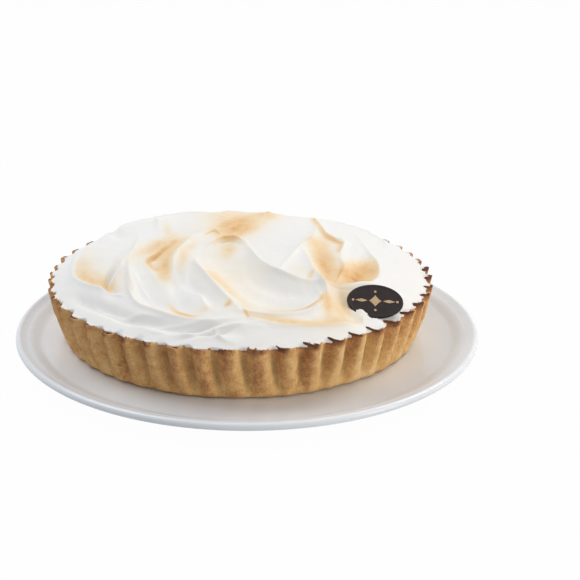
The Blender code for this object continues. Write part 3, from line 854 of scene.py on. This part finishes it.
@dataclass
class SweptMeringue:
    """The dome of foam: swept ridges and scoops, lapping over the rim of the pastry."""

    plan: PiePlan
    plaque: "ChocolatePlaque"
    edge_height: float = 1.6
    dome_rise: float = 20.5
    dome_power: float = 3.3
    rim_cover: float = 127.0
    cells: int = 304
    mark_depth: float = 1.35
    edge_wave: float = 1.3
    tear_reach: float = 1.2
    tear_drop: float = 1.5

    def edge_radius(self, angle: Array) -> Array:
        """How far the foam reaches: into the flutes' valleys, short of their tips, torn."""
        torn = 0.7 * ring_noise(angle, 150, 21) + 0.5 * ring_noise(angle, 340, 22)
        slipped = self.tear_reach * self.plan.tear(angle)
        return self.rim_cover + self.edge_wave * self.plan.flute_wave(angle) + torn + slipped

    def height(self, x: Array, y: Array) -> Array:
        """Height of the foam above the rim, in millimetres.

        A dome, edge + rise (1 - (r / R) ** power), with the relief of every ridge, hollow and
        swell, and of a slight unevenness, fading to nothing at the edge.
        """
        radius = np.clip(np.hypot(x, y) / self.rim_cover, 0.0, 1.0)
        relief = np.zeros(x.shape)
        for mark in (*RIDGES.values(), *HOLLOWS.values()):
            relief += self.mark_depth * mark.relief(x, y)
        for mark in (*COMBS, *SWELLS):
            relief += mark.relief(x, y)
        relief += 0.3 * layered_noise(x / 15.0 + 7.0, y / 15.0 + 3.0, 31, 3)
        dome = self.edge_height + self.dome_rise * (1.0 - radius ** self.dome_power)
        return dome + relief * np.clip((1.0 - radius) * 14.0, 0.0, 1.0)

    def toast(self, x: Array, y: Array) -> Array:
        """Browning from 0 to 1: the torch passes, each kept behind its ridge, with streaks."""
        total = np.zeros(x.shape)
        for flame in TORCH:
            browned = flame.browning(x, y)
            if flame.behind is not None:
                signed, _ = RIDGES[flame.behind].nearest(x, y)
                browned = browned * smoothstep(-0.9, 0.9, signed * flame.flank.value)
            total = 1.0 - (1.0 - total) * (1.0 - np.clip(browned, 0.0, 0.97))
        streak = layered_noise(x / 6.0, y / 12.0, 41, 3)
        return np.clip(total * (1.0 + 0.14 * streak), 0.0, 1.0)

    def build(self, finish: ToastedMeringue) -> bpy.types.Object:
        """Lay a square grid bent to a disc over the dome, and close it under the rim."""
        line = np.linspace(-1.0, 1.0, self.cells + 1)
        u, v = np.meshgrid(line, line)
        reach = np.maximum(np.abs(u), np.abs(v))
        minor = np.minimum(np.abs(u), np.abs(v))
        turn = 0.25 * math.pi * np.divide(minor, reach, out=np.zeros_like(reach), where=reach > 0)
        wide = np.abs(u) >= np.abs(v)
        unit_x = np.sign(u) * reach * np.where(wide, np.cos(turn), np.sin(turn))
        unit_y = np.sign(v) * reach * np.where(wide, np.sin(turn), np.cos(turn))
        angle = np.arctan2(unit_y, unit_x)
        near_edge = smoothstep(0.9, 1.0, reach)
        radius = self.rim_cover + near_edge * (self.edge_radius(angle) - self.rim_cover)
        x = unit_x * radius
        y = unit_y * radius
        z = self.plan.wall_height + self.height(x, y)
        z = z - self.tear_drop * self.plan.tear(angle) * smoothstep(0.975, 1.0, reach)
        z = self.plaque.press(self.plan, x, y, z)
        rim = self.rim_indices()
        rim_x, rim_y, rim_z = (a.ravel()[rim] for a in (x, y, z))
        skirt = ((0.998, -0.9), (0.985, -1.5), (0.955, -1.6), (0.95, -9.0))
        rings = [np.stack([rim_x * s, rim_y * s, self.plan.wall_height + 1.2 + drop + 0.0 * rim_z], -1)
                 for s, drop in skirt]
        top = self.plan.place(x, y, z)
        count = len(rim)
        lower = np.concatenate([self.plan.place(*ring.T) for ring in rings])
        points = np.concatenate([top, lower])
        faces = [*grid_quads(self.cells + 1, self.cells + 1, False)]
        loops = [rim] + [len(top) + count * k + np.arange(count) for k in range(len(rings))]
        for low, high in zip(loops, loops[1:]):
            faces += [*np.stack([np.roll(low, -1), low, high, np.roll(high, -1)], -1)]
        faces.append(loops[-1][::-1])
        piece = make_piece("swept_meringue", points, faces, finish.make(),
                           ("meringue",))
        toast = np.concatenate([self.toast(x, y).ravel(), np.zeros(len(lower))])
        add_values(piece, "toast", toast)
        return piece

    def rim_indices(self) -> Array:
        """Point numbers once round the edge of the grid, anticlockwise from its first corner."""
        side = np.arange(self.cells)
        width = self.cells + 1
        return np.concatenate([side, side * width + self.cells,
                               self.cells * width + self.cells - side,
                               (self.cells - side) * width])


@dataclass
class FlutedCase:
    """The pastry case: a fluted wall with a ragged top edge, and its floor."""

    plan: PiePlan
    around: int = 1440
    up: int = 36
    foot_rounding: float = 3.5

    def build(self, finish: BakedShortcrust) -> bpy.types.Object:
        """Carry the wall's outline round the pie, over the rim and down inside it."""
        angle = np.linspace(0.0, math.tau, self.around, endpoint=False)
        level = np.linspace(0.0, 1.0, self.up)
        a, t = np.meshgrid(angle, level)
        foot = np.clip(t / 0.1, 0.0, 1.0)
        tuck = self.foot_rounding * (1.0 - np.sqrt(1.0 - (1.0 - foot) ** 2))
        tips = self.plan.tip_height(angle)
        height = t * (self.plan.wall_height + tips[None, :] * smoothstep(0.6, 1.0, t))
        radius = self.plan.wall_radius(a, t) - tuck
        arc_length = a * self.plan.rim_radius
        crumb = layered_noise(arc_length / 2.2, height / 2.2, 51, 3)
        dent = smooth_noise(arc_length / 14.0, height / 11.0, 55)
        radius = radius + 0.17 * crumb + 0.4 * dent
        outer = [(radius[i], height[i]) for i in range(self.up)]
        top = radius[-1]
        crown = height[-1]
        over = [(top - 0.7, crown + 0.35), (top - 1.8, crown + 0.2),
                (top - 2.9, np.minimum(crown, self.plan.wall_height) - 0.3),
                (top * 0.0 + 121.0, crown * 0.0 + 31.0), (top * 0.0 + 121.0, crown * 0.0 + 27.0)]
        rows = [(outer[0][0] * 0.5, outer[0][1] * 0.0)] + outer + over
        r = np.stack([row[0] for row in rows])
        z = np.stack([row[1] for row in rows])
        grid = np.broadcast_to(angle, r.shape)
        points = self.plan.place(r * np.cos(grid), r * np.sin(grid), z)
        faces = [*grid_quads(len(rows), self.around, True)]
        faces.append(np.arange(self.around)[::-1])
        faces.append((len(rows) - 1) * self.around + np.arange(self.around))
        piece = make_piece("fluted_pastry_case", points, faces, finish.make(),
                           ("crust",))
        add_values(piece, "bake_and_shade", self.bake_and_shade(grid, z))
        add_values(piece, "valley_shade", self.valley_shade(grid, z))
        return piece

    def bake_and_shade(self, angle: Array, z: Array) -> Array:
        """How brown the pastry is: a brown rim and near black tall tips, with painted shade and
        light on the flutes, whose left flanks are painted darker and right flanks lighter.
        """
        share = np.clip(z / self.plan.wall_height, 0.0, 1.0)
        # painted shade and light: each flute's left flank is darkened and its right flank lightened, more
        # so up the wall and towards the right
        flank = np.sin(self.plan.flute_phase(angle, share))
        blotch = ring_noise(angle, 96, 63) * 0.08
        # paler towards the right, where the painted flank shade and light are also stronger
        pale = 0.15 * smoothstep(0.2, 1.0, np.cos(angle - math.radians(-12.0)))
        shade = 0.42 + 0.08 * share - (0.15 + 0.5 * pale) * flank * share + blotch - pale
        above = z - self.plan.wall_height
        rim = 0.20 * smoothstep(-2.5, 0.6, above) * (1.0 + ring_noise(angle, 240, 61))
        tip = 0.4 * smoothstep(1.2, 3.2, above)
        return shade + rim + tip

    def valley_shade(self, angle: Array, z: Array) -> Array:
        """How deep in a flute's valley the pastry lies, where the finish paints shade in a
        darker greyish brown.
        """
        share = np.clip(z / self.plan.wall_height, 0.0, 1.0)
        valley = smoothstep(-0.35, -1.0, self.plan.flute_wave(angle, share))
        return valley * smoothstep(0.1, 0.35, share) * smoothstep(1.0, 0.7, share)


@dataclass
class RimCrumbs:
    """Loose nuggets of pastry along the broken top edge of the case."""

    plan: PiePlan
    count: int = 520
    smallest: float = 0.30
    largest: float = 0.85
    rows: int = 5
    around: int = 7

    def build(self, finish: BakedShortcrust) -> bpy.types.Object:
        """Scatter lumpy balls along the rim, denser at the front left, and join them."""
        chance = np.random.default_rng(83)
        angle = chance.uniform(0.0, math.tau, self.count)
        crumbly = 0.35 + 0.65 * smoothstep(-0.4, 0.9, np.cos(angle - math.radians(205.0)))
        keep = chance.uniform(0.0, 1.0, self.count) < crumbly
        angle = angle[keep]
        size = self.smallest + (self.largest - self.smallest) * chance.uniform(0, 1, len(angle)) ** 2
        radius = self.plan.wall_radius(angle, np.ones(len(angle))) - chance.uniform(0.2, 2.2, len(angle))
        height = self.plan.wall_height + self.plan.tip_height(angle) + 0.3 * size
        ball = self.ball()
        lumps = chance.uniform(0.7, 1.2, (len(angle), len(ball), 1))
        stretch = chance.uniform(0.7, 1.3, (len(angle), 1, 3))
        grains = ball[None] * lumps * stretch * size[:, None, None]
        centre = np.stack([radius * np.cos(angle), radius * np.sin(angle), height], -1)
        grains = grains + centre[:, None, :]
        points = self.plan.place(grains[..., 0], grains[..., 1], grains[..., 2])
        one = self.ball_faces()
        shift = (np.arange(len(angle)) * len(ball)).tolist()
        faces = [[corner + start for corner in face] for start in shift for face in one]
        piece = make_piece("rim_crumbs", points, faces, finish.make())
        shade = np.repeat(chance.uniform(0.25, 0.85, len(angle)), len(ball))
        add_values(piece, "bake_and_shade", shade)
        # the crumbs get no painted valley shade
        add_values(piece, "valley_shade", np.zeros(len(shade)))
        return piece

    def ball(self) -> Array:
        """Points of a unit ball: rings by height and turn, then a point at each pole."""
        tilt = np.linspace(0.0, math.pi, self.rows + 2)[1:-1]
        turn = np.linspace(0.0, math.tau, self.around, endpoint=False)
        t, a = np.meshgrid(tilt, turn, indexing="ij")
        rings = np.stack([np.sin(t) * np.cos(a), np.sin(t) * np.sin(a), -np.cos(t)], -1)
        return np.concatenate([rings.reshape(-1, 3), [[0.0, 0.0, -1.0], [0.0, 0.0, 1.0]]])

    def ball_faces(self) -> list[list[int]]:
        """Quads between the ball's rings and triangles at its poles, facing out."""
        start = np.arange(self.around)
        after = np.roll(start, -1)
        last = (self.rows - 1) * self.around
        low, high = self.rows * self.around, self.rows * self.around + 1
        quads = grid_quads(self.rows, self.around, True).tolist()
        foot = np.stack([after, start, np.full(self.around, low)], -1).tolist()
        head = np.stack([last + start, last + after, np.full(self.around, high)], -1).tolist()
        return quads + foot + head


@dataclass
class ServingPlate:
    """The round plate: a flat well, a gentle slope, a thick rounded lip and a foot ring."""

    around: int = 240
    well_radius: float = 138.0
    lip_width: float = 5.0
    foot_radius: float = 96.0
    well_height: float = 9.0
    thickness: float = 5.5

    def build(self, finish: GlazedPorcelain) -> bpy.types.Object:
        """Turn the plate's half section about its axis."""
        low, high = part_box("plate")
        size = 0.5 * (high.x - low.x) / MM
        lip_height = high.z / MM
        lip = 0.5 * self.lip_width
        lip_r, lip_z = size - lip, lip_height - lip
        slope = np.linspace(0.0, 1.0, 16)
        rise = slope * slope * (3.0 - 2.0 * slope)
        inner_r = self.well_radius + slope * (size - 1.5 * self.lip_width - self.well_radius)
        inner_z = self.well_height + rise * (lip_height - 2.2 - self.well_height)
        bend = np.radians(np.linspace(125.0, -70.0, 20))
        under = self.well_height - self.thickness
        foot = np.radians(np.linspace(0.0, 180.0, 7))
        r = np.concatenate([[0.0, 40.0, 80.0, 120.0, 130.0], inner_r,
                            lip_r + lip * np.cos(bend), [self.well_radius + 6.0],
                            [self.well_radius - 6.0, self.foot_radius + 8.0],
                            self.foot_radius + 1.0 + 2.5 * np.cos(foot), [self.foot_radius - 4.0, 0.0]])
        z = np.concatenate([[self.well_height] * 5, inner_z,
                            lip_z + lip * np.sin(bend), [under + 2.6], [under + 0.4, under],
                            1.5 - 1.5 * np.sin(foot), [2.5, 2.5]])
        angle = np.linspace(0.0, math.tau, self.around, endpoint=False)
        points = self.turned(r, z, angle)
        faces = self.turned_faces(len(r))
        return make_piece("serving_plate", points, faces, finish.make(),
                          ("plate",), sharp=50.0)

    def turned(self, r: Array, z: Array, angle: Array) -> Array:
        """Points of the half section carried round the axis, with one point at each pole."""
        ring_r, ring_z = r[1:-1], z[1:-1]
        x = np.outer(ring_r, np.cos(angle))
        y = np.outer(ring_r, np.sin(angle))
        height = np.repeat(ring_z[:, None], len(angle), 1)
        rings = np.stack([x.ravel(), y.ravel(), height.ravel()], -1)
        poles = np.array([[0.0, 0.0, z[0]], [0.0, 0.0, z[-1]]])
        return np.concatenate([rings, poles]) * MM

    def turned_faces(self, profile: int) -> list:
        """Quads between the rings, and a fan of triangles at each pole."""
        rings = profile - 2
        quads = grid_quads(rings, self.around, True)[:, ::-1]
        start = np.arange(self.around)
        after = np.roll(start, -1)
        top, bottom = rings * self.around, rings * self.around + 1
        last = (rings - 1) * self.around
        fans = [*np.stack([start, after, np.full(self.around, top)], -1)]
        fans += [*np.stack([last + after, last + start, np.full(self.around, bottom)], -1)]
        return [*quads, *fans]


@dataclass
class ChocolatePlaque:
    """An oval plaque leaning back in the foam, with a plain ornament printed on its face."""

    length: float = 36.0
    width: float = 25.0
    thickness: float = 2.0
    lean: float = 36.0
    turn: float = 6.0
    dip: float = -6.0
    around: int = 128

    def matrix(self) -> Matrix:
        """Where the plaque stands: at its solid's centre, leant back, turned and dipped."""
        low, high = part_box("chocolate_plaque")
        place = Matrix.Translation(0.5 * (low + high))
        turned = Matrix.Rotation(math.radians(self.turn), 4, "Z")
        leant = Matrix.Rotation(math.radians(self.lean), 4, "X")
        return place @ turned @ leant @ Matrix.Rotation(math.radians(self.dip), 4, "Z")

    def press(self, plan: PiePlan, x: Array, y: Array, z: Array) -> Array:
        """Lower the foam behind the plaque to its back, where the foam doesn't lap over its face.

        Args:
            plan: the pie's shared sizes.
            x: foam coordinates in millimetres about the pie's axis.
            y: foam coordinates in millimetres about the pie's axis.
            z: foam heights in millimetres above the pie's base.

        Returns:
            The lowered heights.
        """
        matrix = np.array(self.matrix())
        points = plan.place(x, y, z) - matrix[:3, 3]
        local = points @ matrix[:3, :3] / MM
        reach = (local[:, 0] / (0.5 * self.length)) ** 2 + (local[:, 1] / (0.5 * self.width)) ** 2
        back = -0.5 * self.thickness - 0.15
        proud = np.clip(local[:, 2] - back, 0.0, None)
        inside = (reach < 1.03) & (local[:, 2] < 0.5 * self.thickness + 0.3)
        drop = np.where(inside, proud / matrix[2, 2], 0.0)
        return z - drop.reshape(z.shape)

    def place(self, points: Array) -> Array:
        """Move rows of millimetres in the plaque's own frame to where it stands, in metres."""
        matrix = np.array(self.matrix())
        return points * MM @ matrix[:3, :3].T + matrix[:3, 3]

    def build(self, finish: TemperedChocolate) -> bpy.types.Object:
        """Oval disc with a rounded edge and a slightly sunk face, as cast in a mould."""
        bend = np.linspace(-0.5 * math.pi, 0.5 * math.pi, 9)
        half = 0.5 * self.thickness
        inset = np.concatenate([[12.0, 1.0], 0.8 * (1.0 - np.cos(bend)), [1.0, 1.6, 3.0, 12.0]])
        level = np.concatenate([[-half, -half], half * np.sin(bend), [half, half - 0.18,
                                                                       half - 0.22, half - 0.22]])
        angle = np.linspace(0.0, math.tau, self.around, endpoint=False)
        long_axis = 0.5 * self.length - inset
        short_axis = 0.5 * self.width - inset
        x = np.outer(long_axis, np.cos(angle))
        y = np.outer(short_axis, np.sin(angle))
        z = np.repeat(level[:, None], self.around, 1)
        points = self.place(np.stack([x.ravel(), y.ravel(), z.ravel()], -1))
        rows = len(inset)
        faces = [*grid_quads(rows, self.around, True)]
        faces.append(np.arange(self.around)[::-1])
        faces.append((rows - 1) * self.around + np.arange(self.around))
        return make_piece("oval_chocolate_plaque", points, faces, finish.make(),
                          ("chocolate_plaque",), sharp=60.0)


@dataclass
class PlaqueOrnament:
    """A plain printed row on the plaque's face: a lozenge between tapering dashes and dots."""

    plaque: ChocolatePlaque
    base: float = 0.70
    top: float = 0.88
    steps: int = 48

    def build(self, finish: CocoaButterPrint) -> bpy.types.Object:
        """Raise each mark a little from the sunk face, and join them in one piece."""
        marks = ((0.0, 0.0, 4.0, 4.3, 0.85), (-8.8, 0.0, 3.8, 1.2, 1.1), (8.8, 0.0, 3.8, 1.2, 1.1),
                 (-14.1, 0.0, 0.8, 0.8, 2.0), (14.1, 0.0, 0.8, 0.8, 2.0),
                 (0.0, 6.9, 0.8, 0.8, 2.0), (0.0, -6.9, 0.8, 0.8, 2.0))
        points = []
        faces: list = []
        for x, y, half_x, half_y, power in marks:
            outline = self.outline(x, y, half_x, half_y, power)
            start = len(points) * 2 * self.steps
            points.append(np.concatenate([self.lift(outline, self.base),
                                          self.lift(outline, self.top)]))
            faces += (grid_quads(2, self.steps, True) + start).tolist()
            faces.append((start + np.arange(self.steps)[::-1]).tolist())
            faces.append((start + self.steps + np.arange(self.steps)).tolist())
        place = self.plaque.place(np.concatenate(points))
        return make_piece("plaque_ornament", place, faces, finish.make(),
                          sharp=50.0)

    def outline(self, x: float, y: float, half_x: float, half_y: float, power: float) -> Array:
        """Rounded lozenge |x / a| ** p + |y / b| ** p = 1: hollow-sided below 1, oval at 2."""
        turn = np.linspace(0.0, math.tau, self.steps, endpoint=False)
        cos, sin = np.cos(turn), np.sin(turn)
        bend = 2.0 / power
        return np.stack([x + half_x * np.sign(cos) * np.abs(cos) ** bend,
                         y + half_y * np.sign(sin) * np.abs(sin) ** bend], -1)

    def lift(self, outline: Array, level: float) -> Array:
        """Give a flat outline its height above the plaque's middle."""
        return np.concatenate([outline, np.full((len(outline), 1), level)], 1)


@dataclass
class Studio:
    """A pale floor, soft lamps and the camera."""

    def build(self) -> None:
        """Set the stage."""
        self.floor()
        self.world()
        self.lamps()
        self.camera()
        scene = bpy.context.scene
        scene.view_settings.view_transform = "Standard"

    def floor(self) -> None:
        """A large pale disc that shows white to the camera and keeps the plate's shadow."""
        mesh = bpy.data.meshes.new("studio_floor")
        reach = 6.0
        mesh.from_pydata([(-reach, -reach, 0.0), (reach, -reach, 0.0), (reach, reach, 0.0),
                          (-reach, reach, 0.0)], [], [(0, 1, 2, 3)])
        floor = bpy.data.objects.new("studio_floor", mesh)
        bpy.context.scene.collection.objects.link(floor)
        material = bpy.data.materials.new("matte_white_paper")
        material.use_nodes = True
        tree = material.node_tree
        tree.nodes.clear()
        paper = add_node(tree, "ShaderNodeBsdfDiffuse", None, {"Color": srgb("C6CACF")})
        glow = add_node(tree, "ShaderNodeEmission", None, {"Strength": 1.0})
        seen = add_node(tree, "ShaderNodeLightPath")
        direct = add_node(tree, "ShaderNodeMath", {"operation": "MAXIMUM"},
                          links={0: seen.outputs["Is Camera Ray"],
                                 1: seen.outputs["Is Glossy Ray"]}).outputs["Value"]
        share = add_node(tree, "ShaderNodeMath", {"operation": "MULTIPLY"}, {1: 0.98},
                         {0: direct}).outputs["Value"]
        mix = add_node(tree, "ShaderNodeMixShader",
                       links={0: share, 1: paper.outputs[0], 2: glow.outputs[0]})
        add_node(tree, "ShaderNodeOutputMaterial", links={"Surface": mix.outputs[0]})
        mesh.materials.append(material)

    def world(self) -> None:
        """White beyond the floor, and a soft even light all round."""
        world = bpy.data.worlds.new("studio_air")
        bpy.context.scene.world = world
        world.use_nodes = True
        tree = world.node_tree
        tree.nodes.clear()
        path = add_node(tree, "ShaderNodeLightPath")
        seen = add_node(tree, "ShaderNodeMath", {"operation": "MAXIMUM"},
                        links={0: path.outputs["Is Camera Ray"],
                               1: path.outputs["Is Glossy Ray"]}).outputs["Value"]
        strength = add_node(tree, "ShaderNodeMapRange", None, {"To Min": 0.46, "To Max": 1.0},
                            {"Value": seen}).outputs["Result"]
        sky = add_node(tree, "ShaderNodeBackground", None, {"Color": (1.0, 1.0, 1.0, 1.0)},
                       {"Strength": strength})
        add_node(tree, "ShaderNodeOutputWorld", links={"Surface": sky.outputs[0]})

    def lamps(self) -> None:
        """A soft key high behind on the right, a low side light and a fill behind on the left."""
        aim = Vector((0.0, 0.0, 0.05))
        self.soft_box("key_light", Vector((0.85, 0.5, 1.05)), aim, 0.5, 5.3, "FFFBF6")
        self.soft_box("side_light", Vector((1.15, -0.6, 0.25)), aim, 0.5, 6.0, "FFF9F2")
        self.soft_box("fill_light", Vector((-0.75, 0.25, 1.15)), aim, 0.7, 7.6, "F5F9FF")

    def soft_box(self, name: str, place: Vector, aim: Vector, size: float, power: float,
                 tint: str) -> None:
        """Hang one square lamp.

        Args:
            name: the lamp's name.
            place: where it hangs, in metres.
            aim: the point it faces.
            size: side of the square, in metres.
            power: radiant power, in watts.
            tint: sRGB hex colour.
        """
        data = bpy.data.lights.new(name, "AREA")
        data.shape = "SQUARE"
        data.size = size
        data.energy = power
        data.color = srgb(tint)[:3]
        lamp = bpy.data.objects.new(name, data)
        lamp.location = place
        lamp.rotation_euler = (aim - place).to_track_quat("-Z", "Y").to_euler()
        bpy.context.scene.collection.objects.link(lamp)

    def camera(self) -> None:
        """Look down on the pie from the front, a little turned about the line of sight."""
        data = bpy.data.cameras.new("camera")
        data.lens = 89.1
        data.sensor_width = 36.0
        camera = bpy.data.objects.new("camera", data)
        place = Vector((0.0285, -0.909, 0.3878))
        aim = Vector((0.0285, 0.0245, 0.0293))
        look = (aim - place).to_track_quat("-Z", "Y").to_matrix().to_4x4()
        roll = Matrix.Rotation(math.radians(0.66), 4, "Z")
        camera.matrix_world = Matrix.Translation(place) @ look @ roll
        bpy.context.scene.collection.objects.link(camera)
        bpy.context.scene.camera = camera


def main() -> None:
    """Build every sub-assembly in order."""
    logging.basicConfig(level=logging.INFO, format="%(name)s: %(message)s")
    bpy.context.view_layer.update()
    plan = PiePlan()
    ServingPlate().build(GlazedPorcelain())
    pastry = BakedShortcrust()
    FlutedCase(plan).build(pastry)
    RimCrumbs(plan).build(pastry)
    plaque = ChocolatePlaque()
    SweptMeringue(plan, plaque).build(ToastedMeringue())
    plaque.build(TemperedChocolate())
    PlaqueOrnament(plaque).build(CocoaButterPrint())
    Studio().build()


if __name__ == "__main__":
    main()
